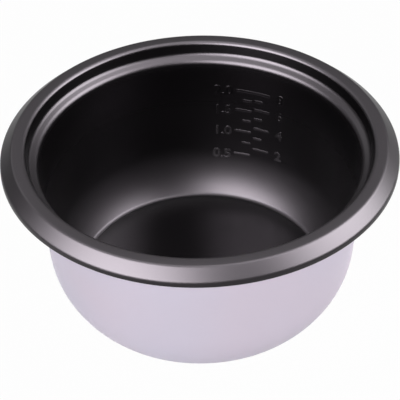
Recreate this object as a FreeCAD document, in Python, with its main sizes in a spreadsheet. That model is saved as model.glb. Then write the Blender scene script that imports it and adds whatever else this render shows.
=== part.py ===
import FreeCAD, Part

import math
import os

import Sketcher

# Inner cooking pot of a rice cooker: a drawn aluminium bowl with a stepped flange,
# a non-stick lining, an outer coat and two raised level scales.
# Frame: millimetres, +Z up along the pot's axis, origin at the centre of its base.

DRIVING_SIZES = {
    # Overall form
    "rim_diameter": 240.0,
    "pot_height": 109.0,
    # Flange, from the lip inwards
    "lip_drop": 9.4,
    "bevel_drop": 6.4,
    "bevel_width": 7.1,
    "crest_width": 7.9,
    "recess_inset": 2.0,
    "recess_depth": 8.3,
    "ledge_width": 5.0,
    "ledge_drop": 2.6,
    # Bowl, on the side that is cooked in
    "wall_taper": 4.6,
    "lower_wall_radius": 52.0,
    "corner_radius": 3.5,
    "floor_inset": 13.2,
    # Layers of the wall, from the inside out
    "lining_thickness": 0.2,
    "sheet_thickness": 2.1,
    "coat_thickness": 0.2,
    # Radii that the press tool leaves
    "bend_radius": 0.3,
    "shoulder_bend_radius": 1.5,
    "recess_fillet": 3.6,
    # Coated border around the bare face that meets the hot plate
    "contact_inset": 7.0,
    # Raised scales: levels above the floor, and the ticks themselves
    "scale_angle": 68.0,
    "scale_gap": 1.2,
    "tick_rise": 0.3,
    "tick_width": 1.1,
    "long_tick": 11.6,
    "short_tick": 6.6,
    "litre_first": 26.8,
    "litre_step": 9.24,
    "litre_shrink": 0.42,
    "cup_first": 32.4,
    "cup_step": 8.35,
    "cup_shrink": 0.43,
}
TICKS_IN_A_COLUMN = 6
PARTS_FOLDER = "parts"

doc = FreeCAD.newDocument("inner_pot")


# Spreadsheet of driving sizes
sheet = doc.addObject("Spreadsheet::Sheet", "dims")
for row, (alias, number) in enumerate(DRIVING_SIZES.items(), start=1):
    sheet.set(f"A{row}", alias)
    sheet.set(f"B{row}", str(number))
    sheet.setAlias(f"B{row}", alias)
doc.recompute()


def size(alias):
    """A driving size, read back from the sheet."""
    return float(sheet.get(alias))


WALL_LAYERS = "(dims.lining_thickness + dims.sheet_thickness + dims.coat_thickness)"
wall_thickness = size("lining_thickness") + size("sheet_thickness") + size("coat_thickness")


# Helpers for the section line
def point(r, z):
    return FreeCAD.Vector(r, z, 0)


def unit(start, end):
    return (end - start).normalize()


def left_of(direction):
    """The direction a quarter turn anticlockwise."""
    return FreeCAD.Vector(-direction.y, direction.x, 0)


def arc_through(start, end, centre):
    """The short arc from start to end; says whether it is drawn anticlockwise."""
    first = start - centre
    last = end - centre
    anticlockwise = first.cross(last).z > 0
    if not anticlockwise:
        first, last = last, first
    circle = Part.Circle(centre, FreeCAD.Vector(0, 0, 1), first.Length)
    arc = Part.ArcOfCircle(circle, math.atan2(first.y, first.x), math.atan2(last.y, last.x))
    return arc, anticlockwise


def rounded_corner(before, corner, after, radius):
    """Where an arc of this radius touches the two lines that meet at a corner, and its centre."""
    way_in = unit(before, corner)
    way_out = unit(corner, after)
    turn = way_in.getAngle(way_out)
    setback = radius * math.tan(turn / 2)
    start = corner - way_in * setback
    end = corner + way_out * setback
    side = 1 if way_in.cross(way_out).z > 0 else -1
    centre = start + left_of(way_in) * (side * radius)
    return start, end, centre


def lower_wall_centre(wall_top, wall_way, corner_centre):
    """Centre of the lower wall's arc: it touches the straight wall and runs on into the bottom corner's arc."""
    radius = size("lower_wall_radius")
    base = wall_top - left_of(wall_way) * radius
    reach = radius - size("corner_radius")
    gap = corner_centre - base
    along = gap.dot(wall_way)
    across = gap.dot(left_of(wall_way))
    return base + wall_way * (along - math.sqrt(reach**2 - across**2))


class SectionSketch:
    """A sketch in the XZ plane that is drawn as one chain of lines and arcs, each tangent to the next."""

    def __init__(self, name):
        self.sketch = doc.addObject("Sketcher::SketchObject", name)
        upright = FreeCAD.Rotation(FreeCAD.Vector(1, 0, 0), 90)
        self.sketch.Placement = FreeCAD.Placement(FreeCAD.Vector(0, 0, 0), upright)
        self.last = None

    def constrain(self, *terms):
        return self.sketch.addConstraint(Sketcher.Constraint(*terms))

    def dimension(self, name, expression, *terms):
        index = self.constrain(*terms)
        self.sketch.renameConstraint(index, name)
        self.sketch.setExpression(f"Constraints.{name}", expression)

    def reading(self, name, *terms):
        """A dimension that is measured on the finished section and drives nothing in it."""
        index = self.constrain(*terms)
        self.sketch.renameConstraint(index, name)
        self.sketch.setDriving(index, False)

    def join(self, element, first, last):
        if self.last is not None:
            self.constrain("Tangent", *self.last, element, first)
        self.last = (element, last)

    def line(self, start, end):
        element = self.sketch.addGeometry(Part.LineSegment(start, end), False)
        self.join(element, 1, 2)
        return element

    def arc(self, name, expression, start, end, centre):
        shape, anticlockwise = arc_through(start, end, centre)
        element = self.sketch.addGeometry(shape, False)
        self.join(element, *((1, 2) if anticlockwise else (2, 1)))
        self.dimension(name, expression, "Radius", element, shape.Radius)
        return element

    def corner(self, place, *lines):
        """A construction point where lines would meet if the corner were sharp."""
        element = self.sketch.addGeometry(Part.Point(place), True)
        for line in lines:
            self.constrain("PointOnObject", element, 1, line)
        return element


# Section of the pot's upper and inner face, from the lip to the axis
rim_radius = size("rim_diameter") / 2
crest = size("pot_height")
bend = size("bend_radius") + wall_thickness
BEND = f"dims.bend_radius + {WALL_LAYERS}"
SHOULDER = f"dims.shoulder_bend_radius + {WALL_LAYERS}"

lip_foot = point(rim_radius, crest - size("lip_drop"))
bevel_foot = point(rim_radius, crest - size("bevel_drop"))
crest_outer = point(rim_radius - size("bevel_width"), crest)
crest_inner = crest_outer - point(size("crest_width"), 0)
recess_foot = crest_inner - point(size("recess_inset"), size("recess_depth"))
shoulder = recess_foot - point(size("ledge_width"), size("ledge_drop"))
taper = math.radians(size("wall_taper"))
wall_way = point(-math.sin(taper), -math.cos(taper))
wall_drop = shoulder.y - wall_thickness
wall_at_floor = point(shoulder.x - wall_drop * math.tan(taper), wall_thickness)
floor_edge = wall_at_floor - point(size("floor_inset"), 0)
floor_centre = point(0, wall_thickness)
corner_centre = floor_edge + point(0, size("corner_radius"))
arc_centre = lower_wall_centre(shoulder, wall_way, corner_centre)
wall_foot = arc_centre + left_of(wall_way) * size("lower_wall_radius")
corner_start = arc_centre + unit(arc_centre, corner_centre) * size("lower_wall_radius")

flange_corners = (
    ("lip_rounding", BEND, bevel_foot, bend),
    ("crest_outer_rounding", BEND, crest_outer, bend),
    ("crest_inner_rounding", BEND, crest_inner, bend),
    ("recess_fillet", "dims.recess_fillet", recess_foot, size("recess_fillet")),
    ("shoulder_rounding", SHOULDER, shoulder, size("shoulder_bend_radius") + wall_thickness),
)

section = SectionSketch("wall_section")
lines = []
pen = lip_foot
stops = [lip_foot] + [corner for _, _, corner, _ in flange_corners] + [wall_foot]
for index, (name, expression, corner, radius) in enumerate(flange_corners):
    start, end, centre = rounded_corner(stops[index], corner, stops[index + 2], radius)
    lines.append(section.line(pen, start))
    section.arc(name, expression, start, end, centre)
    pen = end
wall_line = section.line(pen, wall_foot)
lines.append(wall_line)
section.arc("lower_wall_radius", "dims.lower_wall_radius", wall_foot, corner_start, arc_centre)
bottom_arc = section.arc("corner_radius", "dims.corner_radius", corner_start, floor_edge, corner_centre)
floor_line = section.line(floor_edge, floor_centre)

# Dimensions of the section, each tied to one driving size
ORIGIN = (-1, 1)
lip_line, bevel_line, crest_line, recess_line, ledge_line = lines[:5]
marks = [section.corner(corner, lines[i], lines[i + 1]) for i, (_, _, corner, _) in enumerate(flange_corners)]
bevel_mark, crest_out_mark, crest_in_mark, recess_mark, shoulder_mark = ((mark, 1) for mark in marks)
section.constrain("Vertical", lip_line)
section.constrain("Horizontal", crest_line)
section.constrain("Horizontal", floor_line)
section.constrain("PointOnObject", floor_line, 2, -2)
wall_mark = (section.corner(wall_at_floor, wall_line, floor_line), 1)
for name, expression, direction, low, high, value in (
    ("rim_radius", "dims.rim_diameter / 2", "DistanceX", ORIGIN, bevel_mark, rim_radius),
    ("pot_height", "dims.pot_height", "DistanceY", ORIGIN, crest_out_mark, crest),
    ("lip_drop", "dims.lip_drop", "DistanceY", (lip_line, 1), crest_out_mark, size("lip_drop")),
    ("bevel_drop", "dims.bevel_drop", "DistanceY", bevel_mark, crest_out_mark, size("bevel_drop")),
    ("bevel_width", "dims.bevel_width", "DistanceX", crest_out_mark, bevel_mark, size("bevel_width")),
    ("crest_width", "dims.crest_width", "DistanceX", crest_in_mark, crest_out_mark, size("crest_width")),
    ("recess_inset", "dims.recess_inset", "DistanceX", recess_mark, crest_in_mark, size("recess_inset")),
    ("recess_depth", "dims.recess_depth", "DistanceY", recess_mark, crest_in_mark, size("recess_depth")),
    ("ledge_width", "dims.ledge_width", "DistanceX", shoulder_mark, recess_mark, size("ledge_width")),
    ("ledge_drop", "dims.ledge_drop", "DistanceY", shoulder_mark, recess_mark, size("ledge_drop")),
    ("floor_inset", "dims.floor_inset", "DistanceX", (bottom_arc, 3), wall_mark, size("floor_inset")),
    ("floor_height", WALL_LAYERS, "DistanceY", ORIGIN, (floor_line, 2), wall_thickness),
):
    section.dimension(name, expression, direction, *low, *high, value)
section.dimension("wall_taper", "dims.wall_taper", "Angle", wall_line, 2, -2, 1, taper)
section.reading("floor_radius", "DistanceX", *ORIGIN, bottom_arc, 3, floor_edge.x)
FLOOR_RADIUS = "wall_section.Constraints.floor_radius / 1 mm"
doc.recompute()


# Layers of the wall, each the band between two lines parallel to the section, turned about the axis
def parallel(name, source, expression, filled):
    """A line at a distance from the source line, or the band between the two. Outwards is positive."""
    feature = doc.addObject("Part::Offset2D", name)
    feature.Source = source
    feature.Mode = "Skin"
    feature.Join = "Arc"
    feature.Fill = filled
    feature.setExpression("Value", expression)
    return feature


def turned(name, source):
    """The solid that a band sweeps in one full turn about the pot's axis."""
    feature = doc.addObject("Part::Revolution", name)
    feature.Source = source
    feature.Axis = FreeCAD.Vector(0, 0, 1)
    feature.Base = FreeCAD.Vector(0, 0, 0)
    feature.Angle = 360
    feature.Solid = True
    return feature


def layer(name, start, thickness):
    """One layer of the wall, from its own distance below the cooking face."""
    face = section.sketch if start is None else parallel(f"{name}_line", section.sketch, start, False)
    return turned(name, parallel(f"{name}_band", face, thickness, True))


nonstick_lining = layer("nonstick_lining", None, "dims.lining_thickness")
sheet_body = layer("sheet_body", "dims.lining_thickness", "dims.sheet_thickness")
full_coat = layer("full_coat", "dims.lining_thickness + dims.sheet_thickness", "dims.coat_thickness")

# Bare contact face: a shallow pad of the sheet that fills the window in the outer coat
contact_pad = doc.addObject("Part::Cylinder", "contact_pad")
contact_pad.setExpression("Radius", f"{FLOOR_RADIUS} - dims.contact_inset")
contact_pad.setExpression("Height", "dims.coat_thickness")

pot_shell = doc.addObject("Part::Fuse", "pot_shell")
pot_shell.Base = sheet_body
pot_shell.Tool = contact_pad

outer_coat = doc.addObject("Part::Cut", "outer_coat")
outer_coat.Base = full_coat
outer_coat.Tool = contact_pad


# Level scales: a skin on the cooking face, of which only the ticks are kept
tick_skin = turned("tick_skin", parallel("tick_band", section.sketch, "-dims.tick_rise", True))


def level(scale, count):
    """Height of a scale's mark above the base. The steps shrink as the bowl widens."""
    shrinks = count * (count - 1) // 2
    rise = f"dims.{scale}_first + {count} * dims.{scale}_step - {shrinks} * dims.{scale}_shrink"
    return f"{WALL_LAYERS} + {rise}"


def tick_block(name, height, start, length):
    """A block that cuts one tick out of the skin. Start and length run around the wall."""
    block = doc.addObject("Part::Box", name)
    block.setExpression("Length", f"dims.rim_diameter / 2 - {FLOOR_RADIUS}")
    block.setExpression("Width", length)
    block.setExpression("Height", "dims.tick_width")
    block.setExpression("Placement.Base.x", FLOOR_RADIUS)
    block.setExpression("Placement.Base.y", start)
    block.setExpression("Placement.Base.z", f"{height} - dims.tick_width / 2")
    return block


def tick_column(scale, side):
    """A column of long and short ticks in turn, on one side of the gap between the columns."""
    blocks = []
    for count in range(TICKS_IN_A_COLUMN):
        length = "dims.long_tick" if count % 2 == 0 else "dims.short_tick"
        start = "dims.scale_gap / 2" if side > 0 else f"-dims.scale_gap / 2 - {length}"
        blocks.append(tick_block(f"{scale}_block_{count}", level(scale, count), start, length))
    return blocks


def raised_scale(name, blocks):
    """The ticks that the blocks cut out of the skin, turned to their place on the wall."""
    group = doc.addObject("Part::Compound", f"{name}_blocks")
    group.Links = blocks
    scale = doc.addObject("Part::Common", name)
    scale.Base = tick_skin
    scale.Tool = group
    scale.Placement = FreeCAD.Placement(FreeCAD.Vector(0, 0, 0), FreeCAD.Vector(0, 0, 1), size("scale_angle"))
    scale.setExpression("Placement.Rotation.Angle", "dims.scale_angle")
    return scale


full_line = tick_block(
    "full_line_block",
    level("litre", TICKS_IN_A_COLUMN),
    "-dims.scale_gap / 2 - dims.long_tick",
    "2 * dims.long_tick + dims.scale_gap",
)
litre_scale = raised_scale("litre_scale", tick_column("litre", 1) + [full_line])
cup_scale = raised_scale("cup_scale", tick_column("cup", -1))


# Check every feature, then write the sub-parts
doc.recompute()
sub_parts = (pot_shell, nonstick_lining, outer_coat, litre_scale, cup_scale)
for feature in doc.Objects:
    if "Invalid" in feature.State or "Error" in feature.State:
        raise RuntimeError(f"{feature.Label} failed: {feature.State}")
for sub_part in sub_parts:
    shape = sub_part.Shape
    if shape.isNull() or not shape.isValid() or not shape.Solids:
        raise RuntimeError(f"{sub_part.Label} has no valid solid")

os.makedirs(PARTS_FOLDER, exist_ok=True)
for sub_part in sub_parts:
    sub_part.Shape.exportStep(os.path.join(PARTS_FOLDER, f"{sub_part.Label}.step"))
    solids = sub_part.Shape.Solids
    print(f"{sub_part.Label}: {len(solids)} solids, {sum(solid.Volume for solid in solids):.1f} mm3")
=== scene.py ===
# %% [markdown]
# The part is the lift-out cooking pot of a rice cooker: one drawn aluminium bowl with a stepped flange,
# a black non-stick lining inside, a pearl coat outside and two raised level scales on the wall.
# The CAD model comes first and fixes every size. This file gives its surfaces their finish.
# So the frame is loaded, its box is read for the rim's radius and the pot's height, and nothing in it is ever
# moved.

# %% Load the fixed frame
import math

import bmesh
import bpy
from mathutils import Matrix, Vector


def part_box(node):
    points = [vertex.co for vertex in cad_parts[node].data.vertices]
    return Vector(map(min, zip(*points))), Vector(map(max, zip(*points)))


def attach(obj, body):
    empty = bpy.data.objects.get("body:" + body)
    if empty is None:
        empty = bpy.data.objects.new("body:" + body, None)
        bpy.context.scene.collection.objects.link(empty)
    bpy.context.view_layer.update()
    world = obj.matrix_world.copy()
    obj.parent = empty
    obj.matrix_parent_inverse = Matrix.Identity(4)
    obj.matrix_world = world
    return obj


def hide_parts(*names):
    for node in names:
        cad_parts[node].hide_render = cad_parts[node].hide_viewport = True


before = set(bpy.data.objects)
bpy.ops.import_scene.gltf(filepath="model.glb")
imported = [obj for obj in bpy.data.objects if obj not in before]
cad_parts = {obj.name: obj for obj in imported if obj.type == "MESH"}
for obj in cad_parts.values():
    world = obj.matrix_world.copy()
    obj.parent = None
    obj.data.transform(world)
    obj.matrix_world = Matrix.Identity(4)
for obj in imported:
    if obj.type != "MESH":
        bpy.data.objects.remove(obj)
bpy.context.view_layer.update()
BODY = "root"
MM = 0.001

# %% [markdown]
# Everything that can be turned on a lathe starts as one section line, the face that is cooked in. It runs
# from the middle of the floor, round the bottom corner, up the wall and out over the flange to the lip. A
# workshop drawing of it is a list of widths, drops and radii, so that is how it is kept here. The rim's
# radius and the pot's height come from the frame, and the other sizes lead inwards from there.

# %% Sizes of the section
rim_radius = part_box("nonstick_lining")[1].x
pot_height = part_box("nonstick_lining")[1].z
floor_height = 2.5 * MM
lip_drop = 9.4 * MM
bevel_drop = 6.4 * MM
bevel_width = 7.1 * MM
crest_width = 7.9 * MM
recess_inset = 2.0 * MM
recess_depth = 8.3 * MM
ledge_width = 5.0 * MM
ledge_drop = 2.6 * MM
wall_taper = math.radians(4.6)
lower_wall_radius = 52.0 * MM
corner_radius = 3.5 * MM
floor_inset = 13.2 * MM
bend_radius = 2.8 * MM
recess_fillet = 3.6 * MM
shoulder_radius = 4.0 * MM
print(f"rim {rim_radius / MM:.1f} mm in radius, {pot_height / MM:.1f} mm above the base")

# %% [markdown]
# The section's straight runs meet at corners, and each corner has the radius that the press
# tool leaves there. The lower wall needs care: a wide arc runs into the tight corner arc.
# Two plain roundings give just that if the line where the two arcs meet is worked out first,
# so the section stays a short list of corners.

# %% Corners of the section
crest_outer = Vector((rim_radius - bevel_width, pot_height))
crest_inner = crest_outer - Vector((crest_width, 0))
recess_foot = crest_inner - Vector((recess_inset, recess_depth))
shoulder = recess_foot - Vector((ledge_width, ledge_drop))
wall_at_floor = shoulder.x - (shoulder.y - floor_height) * math.tan(wall_taper)
floor_radius = wall_at_floor - floor_inset

corner_to_wall = floor_inset * math.cos(wall_taper) + corner_radius * math.sin(wall_taper)
wall_turn = math.acos((lower_wall_radius - corner_to_wall) / (lower_wall_radius - corner_radius))
corner_turn = math.pi / 2 - wall_taper - wall_turn
corner_reach = corner_radius * math.tan(corner_turn / 2)
wall_reach = lower_wall_radius * math.tan(wall_turn / 2)
floor_corner = Vector((floor_radius + corner_reach, floor_height))
way_up = Vector((math.cos(corner_turn), math.sin(corner_turn)))
wall_corner = floor_corner + way_up * (corner_reach + wall_reach)

# Each corner's place, the radius of its rounding and the steps of its arc
UP_TO_THE_LIP = [
    (floor_corner, corner_radius, 20),
    (wall_corner, lower_wall_radius, 24),
    (shoulder, shoulder_radius, 14),
    (recess_foot, recess_fillet, 12),
    (crest_inner, bend_radius, 12),
    (crest_outer, bend_radius, 10),
    (Vector((rim_radius, pot_height - bevel_drop)), bend_radius, 12),
    (Vector((rim_radius, pot_height - lip_drop)), 0, 1),
]
foot_turn = math.degrees(wall_turn)
print(f"flat floor {floor_radius / MM:.1f} mm in radius, wall turns {foot_turn:.1f} degrees at its foot")

# %% [markdown]
# Geometry Nodes can round every corner by its own amount if the corner carries that amount with it.
# So the section is drawn as a chain of edges, and its roundings are stored on the points as attributes.

# %% The section as a chain of edges
def floor_point(radius):
    """A place on the flat floor, without a rounding."""
    return Vector((radius, floor_height)), 0, 1


def section_line(name, corners):
    """A chain of edges in the XZ plane. Each corner carries its rounding and the steps of its arc."""
    mesh = bpy.data.meshes.new(name)
    places = [(place.x, 0, place.y) for place, _, _ in corners]
    mesh.from_pydata(places, [(i, i + 1) for i in range(len(corners) - 1)], [])
    rounding = mesh.attributes.new("rounding", "FLOAT", "POINT")
    steps = mesh.attributes.new("arc_steps", "INT", "POINT")
    for i, (_, radius, count) in enumerate(corners):
        rounding.data[i].value = radius
        steps.data[i].value = count
    return mesh


# %% [markdown]
# A Geometry Nodes tree is a recipe that can be run again with other sizes. Written in Python it soon gets
# long, so a small helper makes a tree with named inputs, adds nodes and wires them up, and a second one
# runs a tree on a start mesh and keeps the outcome as a plain mesh, which is what the export needs.

# %% Helpers for Geometry Nodes trees
def new_node(tree, kind, sockets=None, **settings):
    """A node of this kind. Sockets are named or counted, and take a value or another node's output."""
    node = tree.nodes.new(kind)
    for key, value in settings.items():
        setattr(node, key, value)
    for key, value in (sockets or {}).items():
        if isinstance(value, bpy.types.NodeSocket):
            tree.links.new(value, node.inputs[key])
        else:
            node.inputs[key].default_value = value
    return node


class Recipe:
    """A Geometry Nodes tree with named inputs."""

    def __init__(self, name, **inputs):
        self.tree = bpy.data.node_groups.new(name, "GeometryNodeTree")
        interface = self.tree.interface
        interface.new_socket("Geometry", in_out="OUTPUT", socket_type="NodeSocketGeometry")
        interface.new_socket("Geometry", in_out="INPUT", socket_type="NodeSocketGeometry")
        self.identifiers = {}
        for label, kind in inputs.items():
            socket = interface.new_socket(label, in_out="INPUT", socket_type=f"NodeSocket{kind}")
            self.identifiers[label] = socket.identifier
        self.inlet = self.tree.nodes.new("NodeGroupInput")
        self.outlet = self.tree.nodes.new("NodeGroupOutput")

    def given(self, label):
        """The value of a named input."""
        return self.inlet.outputs[label]

    def add(self, kind, sockets=None, **settings):
        return new_node(self.tree, kind, sockets, **settings)

    def calc(self, operation, *values):
        """The outcome of one sum."""
        return self.add("ShaderNodeMath", dict(enumerate(values)), operation=operation).outputs[0]

    def vector(self, x, y, z):
        return self.add("ShaderNodeCombineXYZ", {"X": x, "Y": y, "Z": z}).outputs[0]

    def parts(self, vector):
        return self.add("ShaderNodeSeparateXYZ", {0: vector}).outputs

    def finish(self, geometry, material):
        """Real geometry in one finish, which every tree ends in."""
        real = self.add("GeometryNodeRealizeInstances", {"Geometry": geometry}).outputs[0]
        done = self.add("GeometryNodeSetMaterial", {"Geometry": real, "Material": material}).outputs[0]
        self.tree.links.new(done, self.outlet.inputs[0])
        print(f"recipe {self.tree.name}: {len(self.tree.nodes)} nodes, inputs {', '.join(self.identifiers)}")


def made_piece(name, start_mesh, *steps):
    """Runs one recipe after another on a mesh, and returns the outcome as a plain object at the origin."""
    piece = bpy.data.objects.new(name, start_mesh)
    bpy.context.scene.collection.objects.link(piece)
    for recipe, settings in steps:
        modifier = piece.modifiers.new(recipe.tree.name, "NODES")
        modifier.node_group = recipe.tree
        for label, value in settings.items():
            modifier[recipe.identifiers[label]] = value
    evaluated = piece.evaluated_get(bpy.context.evaluated_depsgraph_get())
    mesh = bpy.data.meshes.new_from_object(evaluated)
    piece.modifiers.clear()
    piece.data = mesh
    mesh.name = name
    finish = mesh.materials[-1]
    mesh.materials.clear()
    mesh.materials.append(finish)
    mesh.polygons.foreach_set("material_index", [0] * len(mesh.polygons))
    mesh.calc_loop_triangles()
    print(f"{name}: {len(mesh.loop_triangles)} triangles in {finish.name}")
    return piece


# %% [markdown]
# Paint and metal are told apart by how they answer light, more than by their colour. Each
# finish is a Principled shader fed by small procedural patterns. They are drawn in the
# pot's own coordinates, so nothing has to be unwrapped and a pattern keeps its true size.
# These helpers draw what several finishes share.

# %% Helpers for finishes
def finish_nodes(name):
    """A new material, its node tree and its Principled shader."""
    material = bpy.data.materials.new(name)
    material.use_nodes = True
    return material, material.node_tree, material.node_tree.nodes["Principled BSDF"]


def own_place(tree):
    """The place of a point in the pot's own coordinates."""
    return new_node(tree, "ShaderNodeTexCoord").outputs["Object"]


def noise(tree, scale, detail):
    """Cloudy noise from 0 to 1. Scale counts the blotches in a metre."""
    sockets = {"Vector": own_place(tree), "Scale": scale, "Detail": detail}
    return new_node(tree, "ShaderNodeTexNoise", sockets).outputs["Fac"]


def spread(tree, value, low, high, start=0.0, end=1.0):
    """Turns a pattern's range from start to end into one from low to high."""
    sockets = {"Value": value, "From Min": start, "From Max": end, "To Min": low, "To Max": high}
    return new_node(tree, "ShaderNodeMapRange", sockets).outputs[0]


def blend_colours(tree, factor, first, second):
    sockets = {0: factor, 6: (*first, 1), 7: (*second, 1)}
    return new_node(tree, "ShaderNodeMix", sockets, data_type="RGBA").outputs[2]


def surface_bump(tree, shader, height, depth, strength):
    """A relief of this depth in metres."""
    node = new_node(tree, "ShaderNodeBump", {"Height": height, "Distance": depth, "Strength": strength})
    tree.links.new(node.outputs[0], shader.inputs["Normal"])


# %% [markdown]
# The lining is a sprayed and baked non-stick film: nearly black, with an orange-peel skin and
# tiny mica flecks. All its grey comes from what it mirrors, so its colour stays very dark and
# its satin does the work. The satin differs from place to place: smooth on the flat floor, which
# was hardly stretched, rougher in the bottom corner, on the flange and on the crest. A ramp over
# the distance from the axis can say all of that.

# %% The satin of the film, from the axis outwards
ON_FLOOR = 0.18
ON_CORNER = 0.40
ON_UPPER_WALL = 0.30
ON_WALL = 0.24
ON_FLANGE = 0.39
IN_RECESS = 0.24
ON_CREST = 0.46
ON_LOW_MARKS = 0.50
ON_HIGH_MARKS = 0.23
floor_blend = 0.2 * MM
bend_blend = 0.4 * MM
shoulder_blend = 0.6 * MM
crest_blend = 0.6 * MM
upper_wall = shoulder.x - 4.0 * MM
low_marks = shoulder.x - 5.5 * MM
high_marks = shoulder.x - 1.5 * MM

FILM_SATIN = [
    (floor_radius - floor_blend, ON_FLOOR),
    (floor_radius + floor_blend, ON_CORNER),
    (wall_at_floor, ON_CORNER),
    (upper_wall, ON_UPPER_WALL),
    (shoulder.x - shoulder_blend, ON_WALL),
    (shoulder.x + shoulder_blend, ON_FLANGE),
    (recess_foot.x - bend_blend, ON_FLANGE),
    (recess_foot.x + bend_blend, IN_RECESS),
    (crest_inner.x - bend_blend, IN_RECESS),
    (crest_inner.x + crest_blend, ON_CREST),
    (crest_outer.x - bend_blend, ON_CREST),
    (crest_outer.x + bend_blend, ON_FLANGE),
]
MARK_SATIN = [(low_marks, ON_LOW_MARKS), (high_marks, ON_HIGH_MARKS)]


def by_radius(tree, stops):
    """A value that runs from stop to stop with the distance from the pot's axis."""
    sockets = {0: own_place(tree), 1: (1, 1, 0)}
    flat = new_node(tree, "ShaderNodeVectorMath", sockets, operation="MULTIPLY").outputs[0]
    radius = new_node(tree, "ShaderNodeVectorMath", {0: flat}, operation="LENGTH").outputs["Value"]
    share = spread(tree, radius, 0.0, 1.0, 0.0, rim_radius)
    ramp = new_node(tree, "ShaderNodeValToRGB", {"Fac": share})
    ramp.color_ramp.interpolation = "EASE"
    places = ramp.color_ramp.elements
    while len(places) < len(stops):
        places.new(1.0)
    for element, (distance, value) in zip(places, stops):
        element.position = distance / rim_radius
        element.color = (value, value, value, 1)
    return ramp.outputs["Color"]


print(f"satin of the film from {ON_FLOOR} on the floor to {ON_CREST} on the crest")

# %% [markdown]
# A fluoropolymer bends light less than glass does, so the film mirrors little when it is
# looked at squarely. The raised marks have the same film with a ramp of their own: they
# catch more light low on the wall than high up.

# %% The non-stick film
FILM_IOR = 1.36
FILM_SHEEN = (1.0, 0.90, 1.0)
FILM_BLACK = (0.0008, 0.0007, 0.0008)
MICA_GREY = (0.002, 0.0018, 0.002)
FLECKS_PER_METRE = 1400.0
fleck_core = 0.05
fleck_edge = 0.22
FILM_PEEL_PER_METRE = 700.0
film_peel_depth = 0.02 * MM
film_peel_strength = 0.35


def nonstick_finish(name, satin):
    material, tree, shader = finish_nodes(name)
    cells = {"Vector": own_place(tree), "Scale": FLECKS_PER_METRE}
    from_core = new_node(tree, "ShaderNodeTexVoronoi", cells).outputs["Distance"]
    fleck = spread(tree, from_core, 1.0, 0.0, fleck_core, fleck_edge)
    tree.links.new(blend_colours(tree, fleck, FILM_BLACK, MICA_GREY), shader.inputs["Base Color"])
    tree.links.new(by_radius(tree, satin), shader.inputs["Roughness"])
    peel = noise(tree, FILM_PEEL_PER_METRE, detail=2.0)
    surface_bump(tree, shader, peel, film_peel_depth, film_peel_strength)
    shader.inputs["IOR"].default_value = FILM_IOR
    shader.inputs["Specular Tint"].default_value = (*FILM_SHEEN, 1)
    return material


nonstick_black = nonstick_finish("non-stick film", FILM_SATIN)
scale_black = nonstick_finish("raised scale film", MARK_SATIN)
print("made", nonstick_black.name, "and", scale_black.name)

# %% [markdown]
# The outside is a pearl lacquer: a pale lilac silver whose flakes lie flat in a dull binder.
# It scatters light far more than it mirrors, so it is a paint with a weak, broad sheen and no metal in it.
# A slow drift between a bluer and a pinker lilac keeps it alive, and the flakes vary its roughness.

# %% The pearl coat
BLUER_LILAC = (0.600, 0.560, 0.665)
PINKER_LILAC = (0.625, 0.558, 0.655)
DRIFTS_PER_METRE = 14.0
FLAKES_PER_METRE = 2600.0
COAT_PEEL_PER_METRE = 420.0
coat_peel_depth = 0.02 * MM
coat_peel_strength = 0.25
smooth_flake = 0.36
rough_flake = 0.50
coat_sheen = 0.1


def pearl_finish(name):
    material, tree, shader = finish_nodes(name)
    drift = spread(tree, noise(tree, DRIFTS_PER_METRE, detail=1.0), 0.0, 1.0, start=0.35, end=0.65)
    tree.links.new(blend_colours(tree, drift, BLUER_LILAC, PINKER_LILAC), shader.inputs["Base Color"])
    flake = noise(tree, FLAKES_PER_METRE, detail=1.0)
    satin = spread(tree, flake, smooth_flake, rough_flake, start=0.3, end=0.7)
    tree.links.new(satin, shader.inputs["Roughness"])
    peel = noise(tree, COAT_PEEL_PER_METRE, detail=2.0)
    surface_bump(tree, shader, peel, coat_peel_depth, coat_peel_strength)
    shader.inputs["Specular IOR Level"].default_value = coat_sheen
    return material


pearl_silver = pearl_finish("pearl lacquer")
print("made", pearl_silver.name)

# %% [markdown]
# Under the base the sheet is bare and turned flat, so that it takes heat from the plate. A turning tool
# leaves fine rings. Their distance from the axis drives both a shallow relief and the roughness.

# %% The bare turned aluminium
DULL_METAL = (0.70, 0.70, 0.71)
BRIGHT_METAL = (0.80, 0.80, 0.81)
CLOUDS_PER_METRE = 45.0
ring_depth = 0.03 * MM
ring_strength = 0.4
smooth_ring = 0.26
rough_ring = 0.42


def turned_metal_finish(name):
    material, tree, shader = finish_nodes(name)
    rings = new_node(tree, "ShaderNodeTexWave", {
        "Vector": own_place(tree),
        "Scale": 190.0,
        "Distortion": 0.6,
        "Detail": 2.0,
        "Detail Scale": 6.0,
    }, wave_type="RINGS", rings_direction="Z", wave_profile="SIN").outputs["Fac"]
    cloud = noise(tree, CLOUDS_PER_METRE, detail=3.0)
    tree.links.new(blend_colours(tree, cloud, DULL_METAL, BRIGHT_METAL), shader.inputs["Base Color"])
    tree.links.new(spread(tree, rings, smooth_ring, rough_ring), shader.inputs["Roughness"])
    surface_bump(tree, shader, rings, ring_depth, ring_strength)
    shader.inputs["Metallic"].default_value = 1.0
    return material


bare_aluminium = turned_metal_finish("bare aluminium")
print("made", bare_aluminium.name)

# %% [markdown]
# Lining, sheet and coat are layers that follow the section at their own depth.
# The tree first rounds the section's corners and reads the line as a row of stations. A layer has two faces,
# so the stations are used twice: a grid of points runs out along one face and comes back along the other.

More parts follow.
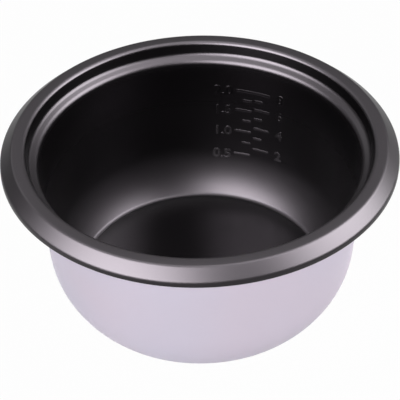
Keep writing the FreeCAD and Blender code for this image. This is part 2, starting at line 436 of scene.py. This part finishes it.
# %% Stations along the section
def section_stations(recipe):
    """The section with its corners rounded, as points that know the line's direction."""
    steps = recipe.add("GeometryNodeInputNamedAttribute", {"Name": "arc_steps"}, data_type="INT").outputs[0]
    radius = recipe.add("GeometryNodeInputNamedAttribute", {"Name": "rounding"}, data_type="FLOAT").outputs[0]
    corners = recipe.add("GeometryNodeMeshToCurve", {"Mesh": recipe.inlet.outputs[0]}).outputs[0]
    fillet = {"Curve": corners, "Count": steps, "Radius": radius}
    line = recipe.add("GeometryNodeFilletCurve", fillet, mode="POLY").outputs[0]
    return recipe.add("GeometryNodeCurveToPoints", {"Curve": line}, mode="EVALUATED").outputs


def there_and_back(recipe, row, count, loop):
    """The station that a row of the grid stands for, and whether the row is on its way back."""
    returning = recipe.calc("GREATER_THAN", row, recipe.calc("SUBTRACT", count, 0.5))
    there = recipe.calc("MULTIPLY", row, recipe.calc("SUBTRACT", 1.0, returning))
    last = recipe.calc("SUBTRACT", loop, 1.0)
    back = recipe.calc("MULTIPLY", recipe.calc("SUBTRACT", last, row), returning)
    return recipe.calc("ADD", there, back), returning


# %% [markdown]
# One turn of that grid about the axis is the closed layer. Its last column falls on its first and is welded
# to it. A spun curve would do for a plain bowl, but a lathe made this way has clean quads, no facets in its
# highlights and a true thickness, and only the edges that are sharp on the real pot stay sharp.

# %% The recipe for a turned layer
WELD = 0.001 * MM
CREASE_ANGLE = math.radians(40)


def smooth_but_for_creases(recipe, body):
    """Welds the seam and shades the body smooth, with its sharp edges kept."""
    closed = recipe.add("GeometryNodeMergeByDistance", {"Geometry": body, "Distance": WELD}).outputs[0]
    smooth = recipe.add("GeometryNodeSetShadeSmooth", {"Geometry": closed}, domain="FACE").outputs[0]
    angle = recipe.add("GeometryNodeInputMeshEdgeAngle").outputs[0]
    sharp = recipe.calc("GREATER_THAN", angle, CREASE_ANGLE)
    crisp = {"Geometry": smooth, "Selection": sharp, "Shade Smooth": False}
    return recipe.add("GeometryNodeSetShadeSmooth", crisp, domain="EDGE").outputs[0]


def turned_layer_recipe():
    recipe = Recipe(
        "turned_layer", Depth="Float", Thickness="Float", Sides="Int", Ring="Bool", Finish="Material"
    )
    stations = section_stations(recipe)
    points = stations["Points"]
    count = recipe.add("GeometryNodeAttributeDomainSize", {0: points}, component="POINTCLOUD").outputs[0]
    loop = recipe.calc("MULTIPLY", count, 2.0)
    rows = recipe.calc("ADD", loop, recipe.given("Ring"))
    columns = recipe.calc("ADD", recipe.given("Sides"), 1.0)
    grid = recipe.add("GeometryNodeMeshGrid", {"Vertices X": columns, "Vertices Y": rows}).outputs[0]
    index = recipe.add("GeometryNodeInputIndex").outputs[0]
    column = recipe.calc("FLOOR", recipe.calc("DIVIDE", recipe.calc("ADD", index, 0.5), rows))
    row = recipe.calc("MODULO", recipe.calc("SUBTRACT", index, recipe.calc("MULTIPLY", column, rows)), loop)
    station, returning = there_and_back(recipe, row, count, loop)

    def read(field):
        sockets = {"Geometry": points, "Value": field, "Index": station}
        return recipe.add("GeometryNodeSampleIndex", sockets, data_type="FLOAT_VECTOR").outputs[0]

    place = read(recipe.add("GeometryNodeInputPosition").outputs[0])
    along = recipe.parts(read(stations["Tangent"]))
    below = recipe.vector(along["Z"], 0.0, recipe.calc("MULTIPLY", along["X"], -1.0))
    thickness = recipe.calc("MULTIPLY", returning, recipe.given("Thickness"))
    depth = recipe.calc("ADD", recipe.given("Depth"), thickness)
    offset = recipe.add("ShaderNodeVectorMath", {0: below, "Scale": depth}, operation="SCALE").outputs[0]
    spot = recipe.add("ShaderNodeVectorMath", {0: place, 1: offset}, operation="ADD").outputs[0]
    turn = recipe.calc("MULTIPLY", recipe.calc("DIVIDE", column, recipe.given("Sides")), math.tau)
    turned = recipe.add("ShaderNodeVectorRotate", {"Vector": spot, "Angle": turn}, rotation_type="Z_AXIS")
    body = recipe.add("GeometryNodeSetPosition", {"Geometry": grid, "Position": turned.outputs[0]}).outputs[0]
    outwards = recipe.add("GeometryNodeFlipFaces", {"Mesh": body}).outputs[0]
    recipe.finish(smooth_but_for_creases(recipe, outwards), recipe.given("Finish"))
    return recipe


turned_layer = turned_layer_recipe()

# %% [markdown]
# The real pot is one aluminium sheet, sprayed black on the face that is cooked in and lacquered on the
# outside. Here the three lie on each other like the skins of an onion: the same section, each at its own
# depth. The lacquer stops short of the middle of the base, where a bare disc meets the hot plate. That disc
# is as thick as the lacquer, so the base is flat all over.

# %% The lining, the sheet and the outer coat
SIDES = 224
lining_thickness = 0.2 * MM
sheet_thickness = 2.1 * MM
coat_thickness = 0.2 * MM
contact_inset = 7.0 * MM
contact_radius = floor_radius - contact_inset


def layer(name, finish, depth, thickness, corners):
    """A turned layer under the cooking face, from the axis or as a ring around it."""
    piece = made_piece(name, section_line(name + "_section", corners), (turned_layer, {
        "Depth": depth,
        "Thickness": thickness,
        "Sides": SIDES,
        "Ring": corners[0][0].x > 0.0,
        "Finish": finish,
    }))
    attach(piece, BODY)
    return piece


whole = [floor_point(0.0), *UP_TO_THE_LIP]
lining = layer("cooking_face", nonstick_black, 0.0, lining_thickness, whole)
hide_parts("nonstick_lining")
sheet = layer("drawn_sheet", bare_aluminium, lining_thickness, sheet_thickness, whole)
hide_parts("pot_shell")
coat_depth = lining_thickness + sheet_thickness
ring = [floor_point(contact_radius), *UP_TO_THE_LIP]
coat = layer("pearl_coat", pearl_silver, coat_depth, coat_thickness, ring)
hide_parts("outer_coat")
disc = [floor_point(0.0), floor_point(contact_radius)]
layer("contact_face", bare_aluminium, coat_depth, coat_thickness, disc)

# %% [markdown]
# Ticks on the inside wall show how much water to add. On the real pot they are pressed into the sheet, so
# under the lining each is a low, soft swelling. It could be modelled with a bevel, but a sweep is simpler:
# a shallow arc over a flat foot runs along a line, and shrinks towards the line's ends, which rounds them
# off. The foot is sunk just under the wall, so that no gap shows.

# %% One tick
CROWN_POINTS = 17
RUN_POINTS = 64


def crown_profile(recipe, half_width):
    """The section of a tick: a low arc, closed by its flat foot."""
    height = recipe.calc("ADD", recipe.given("Rise"), recipe.given("Sink"))
    crown = recipe.add("GeometryNodeCurveArc", {
        "Resolution": CROWN_POINTS,
        "Start": recipe.vector(recipe.calc("MULTIPLY", half_width, -1.0), 0.0, 0.0),
        "Middle": recipe.vector(0.0, recipe.calc("MULTIPLY", height, -1.0), 0.0),
        "End": recipe.vector(half_width, 0.0, 0.0),
    }, mode="POINTS").outputs[0]
    return recipe.add("GeometryNodeSetSplineCyclic", {"Geometry": crown, "Cyclic": True}).outputs[0]


def tick_bar(recipe, length, half_width, profile):
    """A tick of this length, with its middle at the origin."""
    half_run = recipe.calc("MULTIPLY", length, 0.5)
    ends = {
        "Start": recipe.vector(recipe.calc("MULTIPLY", half_run, -1.0), 0.0, 0.0),
        "End": recipe.vector(half_run, 0.0, 0.0),
    }
    run = recipe.add("GeometryNodeCurvePrimitiveLine", ends).outputs[0]
    fine = recipe.add("GeometryNodeResampleCurve", {"Curve": run, "Count": RUN_POINTS}).outputs[0]
    x = recipe.parts(recipe.add("GeometryNodeInputPosition").outputs[0])["X"]
    straight = recipe.calc("SUBTRACT", half_run, half_width)
    past = recipe.calc("SUBTRACT", recipe.calc("ABSOLUTE", x), straight)
    share = recipe.calc("DIVIDE", recipe.calc("MAXIMUM", past, 0.0), half_width)
    left = recipe.calc("SUBTRACT", 1.0, recipe.calc("POWER", share, 2.0))
    fall = recipe.calc("SQRT", recipe.calc("MAXIMUM", left, 0.0))
    swept = {"Curve": fine, "Profile Curve": profile, "Scale": fall}
    bar = recipe.add("GeometryNodeCurveToMesh", swept).outputs[0]
    drop = recipe.vector(0.0, 0.0, recipe.calc("MULTIPLY", recipe.given("Sink"), -1.0))
    return recipe.add("GeometryNodeSetPosition", {"Geometry": bar, "Offset": drop}).outputs[0]


# %% [markdown]
# The ticks stand in two ladders: litres on one side of a narrow gap, cups on the other.
# One tree sets out a ladder on a flat sheet, a point for each tick and a long or a short bar on each point.
# Every second tick is short, and the steps shrink because the bowl gets wider as it rises.

# %% The recipe for a ladder of ticks
def tick_ladder_recipe():
    recipe = Recipe(
        "tick_ladder", Ticks="Int", First="Float", Step="Float", Shrink="Float", Side="Float", Gap="Float",
        Long="Float", Short="Float", Width="Float", Rise="Float", Sink="Float", Finish="Material",
    )
    half_width = recipe.calc("MULTIPLY", recipe.given("Width"), 0.5)
    profile = crown_profile(recipe, half_width)
    points = recipe.add("GeometryNodePoints", {"Count": recipe.given("Ticks")}).outputs[0]
    k = recipe.add("GeometryNodeInputIndex").outputs[0]
    odd = recipe.calc("MODULO", k, 2.0)
    before = recipe.calc("MULTIPLY", recipe.calc("MULTIPLY", k, recipe.calc("SUBTRACT", k, 1.0)), 0.5)
    climb = recipe.calc("MULTIPLY", k, recipe.given("Step"))
    lost = recipe.calc("MULTIPLY", before, recipe.given("Shrink"))
    level = recipe.calc("SUBTRACT", recipe.calc("ADD", recipe.given("First"), climb), lost)
    saved = recipe.calc("MULTIPLY", odd, recipe.calc("SUBTRACT", recipe.given("Long"), recipe.given("Short")))
    length = recipe.calc("SUBTRACT", recipe.given("Long"), saved)
    middle = recipe.calc("MULTIPLY", recipe.calc("ADD", recipe.given("Gap"), length), 0.5)
    sideways = recipe.calc("MULTIPLY", middle, recipe.given("Side"))
    spots = {"Geometry": points, "Position": recipe.vector(sideways, level, 0.0)}
    placed = recipe.add("GeometryNodeSetPosition", spots).outputs[0]
    kinds = recipe.add("GeometryNodeGeometryToInstance")
    for label in ("Short", "Long"):
        bar = tick_bar(recipe, recipe.given(label), half_width, profile)
        recipe.tree.links.new(bar, kinds.inputs[0])
    ticks = recipe.add("GeometryNodeInstanceOnPoints", {
        "Points": placed,
        "Instance": kinds.outputs[0],
        "Pick Instance": True,
        "Instance Index": odd,
    }).outputs[0]
    recipe.finish(ticks, recipe.given("Finish"))
    return recipe


tick_ladder = tick_ladder_recipe()

# %% [markdown]
# The flat sheet of marks is then laid on the wall. For each point a ray runs out from the pot's axis at the
# point's own height and finds the wall. The point is set there, lifted off along the wall's normal by its
# rise, and turned about the axis by its distance along the sheet. The same tree later lays the numerals.

# %% The recipe that lays flat marks on the wall
MARK_WELD = 0.002 * MM


def on_wall_recipe():
    recipe = Recipe("laid_on_wall", Wall="Object", Bearing="Float", Sunk="Float", Finish="Material")
    wall = recipe.add("GeometryNodeObjectInfo", {"Object": recipe.given("Wall")}).outputs["Geometry"]
    flat = recipe.parts(recipe.add("GeometryNodeInputPosition").outputs[0])
    outwards = recipe.vector(
        recipe.calc("COSINE", recipe.given("Bearing")),
        recipe.calc("SINE", recipe.given("Bearing")),
        0.0,
    )
    ray = recipe.add("GeometryNodeRaycast", {
        "Target Geometry": wall,
        "Source Position": recipe.vector(0.0, 0.0, flat["Y"]),
        "Ray Direction": outwards,
        "Ray Length": rim_radius,
    })
    rise = recipe.calc("MAXIMUM", flat["Z"], recipe.calc("MULTIPLY", recipe.given("Sunk"), -1.0))
    lift = {0: ray.outputs["Hit Normal"], "Scale": rise}
    lifted = recipe.add("ShaderNodeVectorMath", lift, operation="SCALE").outputs[0]
    spot = {0: ray.outputs["Hit Position"], 1: lifted}
    above = recipe.add("ShaderNodeVectorMath", spot, operation="ADD").outputs[0]
    turn = recipe.calc("MULTIPLY", recipe.calc("DIVIDE", flat["X"], ray.outputs["Hit Distance"]), -1.0)
    turned = recipe.add("ShaderNodeVectorRotate", {"Vector": above, "Angle": turn}, rotation_type="Z_AXIS")
    laid = {"Geometry": recipe.inlet.outputs[0], "Position": turned.outputs[0]}
    body = recipe.add("GeometryNodeSetPosition", laid).outputs[0]
    closed = recipe.add("GeometryNodeMergeByDistance", {"Geometry": body, "Distance": MARK_WELD}).outputs[0]
    smooth = recipe.add("GeometryNodeSetShadeSmooth", {"Geometry": closed}).outputs[0]
    recipe.finish(smooth, recipe.given("Finish"))
    return recipe


on_wall = on_wall_recipe()

# %% [markdown]
# Now the ladders get their sizes. The heights of the ticks were read from the photograph, and a first height,
# a step and an even shrink of that step are enough to give them all again.
# Each ladder stands in for its CAD node, and one line across both marks the highest level.

# %% The litre and cup ladders
TICKS = 6
scale_bearing = math.radians(68.0)
scale_gap = 1.2 * MM
tick_width = 2.3 * MM
tick_rise = 0.17 * MM
tick_sunk = 0.06 * MM
long_tick = 11.6 * MM
short_tick = 6.6 * MM
BAR = {"Width": tick_width, "Rise": tick_rise, "Sink": tick_sunk}
litre_levels = {"First": 26.8 * MM + floor_height, "Step": 9.24 * MM, "Shrink": 0.42 * MM}
cup_levels = {"First": 32.4 * MM + floor_height, "Step": 8.35 * MM, "Shrink": 0.43 * MM}
laying = {"Wall": lining, "Bearing": scale_bearing, "Sunk": tick_sunk, "Finish": scale_black}


def mark_level(levels, count):
    """Height of a scale's mark above the base."""
    return levels["First"] + count * levels["Step"] - count * (count - 1) / 2 * levels["Shrink"]


def marks_on_wall(name, drawing):
    """Ticks laid on the wall as one piece."""
    sizes = {**drawing, **BAR, "Finish": scale_black}
    piece = made_piece(name, bpy.data.meshes.new(name), (tick_ladder, sizes), (on_wall, laying))
    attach(piece, BODY)
    return piece


ladder = {"Ticks": TICKS, "Gap": scale_gap, "Long": long_tick, "Short": short_tick}
litre_ticks = marks_on_wall("litre_ticks", {**ladder, **litre_levels, "Side": -1.0})
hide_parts("litre_scale")
cup_ticks = marks_on_wall("cup_ticks", {**ladder, **cup_levels, "Side": 1.0})
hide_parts("cup_scale")

full_width = 2 * long_tick + scale_gap
full_level = {"First": mark_level(litre_levels, TICKS), "Step": 0.0, "Shrink": 0.0}
one_bar = {"Ticks": 1, "Gap": 0.0, "Long": full_width, "Short": full_width, "Side": 0.0}
marks_on_wall("full_line", {**one_bar, **full_level})

# %% [markdown]
# Plain numbers stand beside the long ticks. Text is a curve, so it can be thickened and given a soft edge
# before it becomes a mesh. The figures are set out flat, along the wall and above the base,
# and the tree that laid the ticks lays them too.

# %% The numerals
numeral_size = 9.2 * MM
numeral_squeeze = 1.10
numeral_stroke = 0.32 * MM
numeral_flatness = 0.25
EDGE_STEPS = 3
BEND_STEPS = 6


def numeral_mesh(text, place, align):
    """Raised figures as a flat mesh, at a place along the wall and above the base."""
    curve = bpy.data.curves.new(text, "FONT")
    curve.body = text
    curve.size = numeral_size
    curve.align_x = align
    curve.align_y = "CENTER"
    curve.bevel_depth = numeral_stroke
    curve.bevel_resolution = EDGE_STEPS
    curve.resolution_u = BEND_STEPS
    holder = bpy.data.objects.new(text, curve)
    bpy.context.scene.collection.objects.link(holder)
    mesh = bpy.data.meshes.new_from_object(holder.evaluated_get(bpy.context.evaluated_depsgraph_get()))
    bpy.data.objects.remove(holder)
    squash = Matrix.Diagonal((numeral_squeeze, 1, numeral_flatness, 1))
    mesh.transform(Matrix.Translation((*place, 0)) @ squash)
    return mesh


def numerals(name, figures, levels, drop, along, align):
    """A column of numerals as one piece on the wall, each a little below its tick."""
    column = bmesh.new()
    for text, count in figures:
        column.from_mesh(numeral_mesh(text, (along, mark_level(levels, count) - drop), align))
    mesh = bpy.data.meshes.new(name)
    bmesh.ops.remove_doubles(column, verts=column.verts, dist=WELD)
    column.to_mesh(mesh)
    column.free()
    piece = made_piece(name, mesh, (on_wall, laying))
    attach(piece, BODY)
    return piece


litre_numeral_gap = 1.8 * MM
litre_numeral_drop = 1.3 * MM
litre_edge = -(scale_gap / 2 + long_tick + litre_numeral_gap)
litre_figures = [("0.5", 0), ("1.0", 2), ("1.5", 4), ("2.0", 6)]
numerals("litre_numerals", litre_figures, litre_levels, litre_numeral_drop, litre_edge, "RIGHT")
cup_numeral_gap = 4.6 * MM
cup_numeral_drop = 0.8 * MM
cup_edge = scale_gap / 2 + long_tick + cup_numeral_gap
cup_figures = [("2", 0), ("4", 2), ("6", 4), ("8", 6)]
numerals("cup_numerals", cup_figures, cup_levels, cup_numeral_drop, cup_edge, "LEFT")

# %% [markdown]
# The camera is the photograph's: it was found by fitting the rim's ellipses and the
# body's outline. It stands about a metre off, looks down at the rim by some 38
# degrees and leans over by a little more than one.

# %% The camera
camera_distance = 0.960
camera_elevation = math.radians(37.51)
camera_pitch = math.radians(2.10)
camera_roll = math.radians(-1.34)
camera_yaw = math.radians(0.03)
focal_pixels = 1598.2
IMAGE_WIDTH = 400
SENSOR = 36.0

target_height = 108.2 * MM
rim_centre = Vector((0, 0, target_height))
towards_camera = Vector((0, -math.cos(camera_elevation), math.sin(camera_elevation)))
camera_data = bpy.data.cameras.new("photo_camera")
camera_data.sensor_width = SENSOR
camera_data.lens = focal_pixels * SENSOR / IMAGE_WIDTH
camera = bpy.data.objects.new("photo_camera", camera_data)
bpy.context.scene.collection.objects.link(camera)
look_up = math.pi / 2 - camera_elevation - camera_pitch
turned_aside = Matrix.Rotation(camera_yaw, 4, "Z")
looking_down = Matrix.Rotation(look_up, 4, "X")
leaning = Matrix.Rotation(camera_roll, 4, "Z")
aim = turned_aside @ looking_down @ leaning
camera.matrix_world = Matrix.Translation(rim_centre + towards_camera * camera_distance) @ aim
bpy.context.scene.camera = camera
print(f"lens {camera_data.lens:.1f} mm at {tuple(round(value, 3) for value in camera.location)}")

# %% [markdown]
# The stage is a pale floor in a dim room. To the camera and in mirrored rays the floor glows white, like
# the paper sweep of a product photograph. To all other rays it is a mid grey that sends a little light up
# at the pot. So the background is white without any extra light on the pot, and the pot keeps its colours.

# %% The floor and the room
FLOOR_GREY = (0.5, 0.5, 0.5, 1)
WHITE = (1, 1, 1, 1)
glow_share = 0.98
room_light = 0.05
floor_half = 30.0
floor_level = -0.3 * MM
SQUARE = [(-1, -1), (1, -1), (1, 1), (-1, 1)]


def white_to_sight(tree, plain, bright):
    """Mixes two shaders so that camera, glossy and transmission rays see the bright one."""
    path = new_node(tree, "ShaderNodeLightPath").outputs
    sight = path["Is Camera Ray"]
    for kind in ("Is Glossy Ray", "Is Transmission Ray"):
        sight = new_node(tree, "ShaderNodeMath", {0: sight, 1: path[kind]}, operation="MAXIMUM").outputs[0]
    return new_node(tree, "ShaderNodeMixShader", {0: sight, 1: plain, 2: bright}).outputs[0]


def floor_finish():
    material = bpy.data.materials.new("studio_floor")
    material.use_nodes = True
    tree = material.node_tree
    tree.nodes.clear()
    paint = new_node(tree, "ShaderNodeBsdfDiffuse", {"Color": FLOOR_GREY}).outputs[0]
    glow = new_node(tree, "ShaderNodeEmission", {"Color": WHITE, "Strength": 1.0}).outputs[0]
    pale = new_node(tree, "ShaderNodeMixShader", {0: glow_share, 1: paint, 2: glow}).outputs[0]
    new_node(tree, "ShaderNodeOutputMaterial", {"Surface": white_to_sight(tree, paint, pale)})
    return material


floor_mesh = bpy.data.meshes.new("studio_floor")
floor_corners = [(x * floor_half, y * floor_half, floor_level) for x, y in SQUARE]
floor_mesh.from_pydata(floor_corners, [], [(0, 1, 2, 3)])
floor_mesh.materials.append(floor_finish())
floor = bpy.data.objects.new("studio_floor", floor_mesh)
bpy.context.scene.collection.objects.link(floor)

world = bpy.data.worlds.new("white_studio")
bpy.context.scene.world = world
world.use_nodes = True
room = world.node_tree
room.nodes.clear()
dim = new_node(room, "ShaderNodeBackground", {"Color": WHITE, "Strength": room_light}).outputs[0]
new_node(room, "ShaderNodeOutputWorld", {"Surface": dim})
print(f"floor of {2 * floor_half:.0f} m in a room at {room_light} of white")

# %% [markdown]
# A product photographer lights gloss and paint apart, with polarising sheets over lamps and lens.
# The lamps here are softboxes of two kinds that do the same. Some show in the gloss only, and draw the bright
# stretches on the bevel, the ledge and the bottom corner. A ring of weaker ones lights the paint only.
# The cloth of each box fades towards its edge, so that no hard border shows in the film.

# %% A softbox
LAMP_DISTANCE = 2.0
CLOTH_MIDDLE = (0.5, 0.5, 0.0)
cloth_core = 0.15
cloth_edge = 0.5


def cloth_fade(tree):
    """Brightness of a box's cloth: even in the middle, fading to nothing at the edge."""
    spot = new_node(tree, "ShaderNodeNewGeometry").outputs["Parametric"]
    sockets = {0: spot, 1: CLOTH_MIDDLE}
    from_middle = new_node(tree, "ShaderNodeVectorMath", sockets, operation="DISTANCE").outputs["Value"]
    return new_node(tree, "ShaderNodeMapRange", {
        "Value": from_middle,
        "From Min": cloth_core,
        "From Max": cloth_edge,
        "To Min": 1.0,
        "To Max": 0.0,
    }, interpolation_type="SMOOTHSTEP").outputs[0]


def softbox(name, bearing, elevation, width, height, radiance, gloss=True):
    """An area lamp that looks at the rim and shows in the gloss only, or lights the paint only.

    Bearing is counted from the camera's side towards the right.
    """
    lamp = bpy.data.lights.new(name, "AREA")
    lamp.shape = "RECTANGLE"
    lamp.size = width
    lamp.size_y = height
    lamp.energy = radiance * math.pi * width * height
    lamp.use_nodes = True
    cloth = lamp.node_tree
    cloth.links.new(cloth_fade(cloth), cloth.nodes["Emission"].inputs["Strength"])
    holder = bpy.data.objects.new(name, lamp)
    bpy.context.scene.collection.objects.link(holder)
    turn = math.radians(bearing)
    climb = math.radians(elevation)
    way = Vector((math.cos(climb) * math.sin(turn), -math.cos(climb) * math.cos(turn), math.sin(climb)))
    holder.location = rim_centre + way * LAMP_DISTANCE
    holder.rotation_euler = way.to_track_quat("Z", "Y").to_euler()
    holder.visible_camera = False
    holder.visible_diffuse = not gloss
    holder.visible_glossy = gloss


# %% [markdown]
# The film mirrors only a few hundredths of what it faces, so its boxes are far brighter than white paper.
# Two big boxes left and right give the long highlights. The weaker ones overhead, in front and behind
# lift the ledge and the crest out of the black. The paint lamps stand low and all round, strongest where
# the photograph has the brightest stretch of the body.

# %% The lamps
softbox("left_softbox", bearing=-46, elevation=38, width=3.7, height=2.7, radiance=40.0)
softbox("right_softbox", bearing=89, elevation=38, width=3.0, height=2.7, radiance=33.5)
softbox("overhead_softbox", bearing=175, elevation=80, width=3.2, height=2.3, radiance=7.7)
softbox("front_softbox", bearing=10, elevation=60, width=2.6, height=2.0, radiance=3.0)
softbox("back_softbox", bearing=180, elevation=34, width=3.6, height=1.6, radiance=0.35)
softbox("rear_softbox", bearing=-143, elevation=33, width=1.6, height=1.1, radiance=2.8)

FILL_BY_BEARING = {-150: 2.6, -90: 0.2, -30: 6.4, 30: 1.6, 90: 5.3, 150: 2.7}
fill_elevation = 14
fill_width = 2.4
fill_height = 2.0
for bearing, radiance in FILL_BY_BEARING.items():
    name = f"fill_{bearing % 360}"
    softbox(name, bearing, fill_elevation, fill_width, fill_height, radiance, gloss=False)

bpy.context.scene.view_settings.view_transform = "Standard"
print("lamps:", ", ".join(lamp.name for lamp in bpy.data.lights))
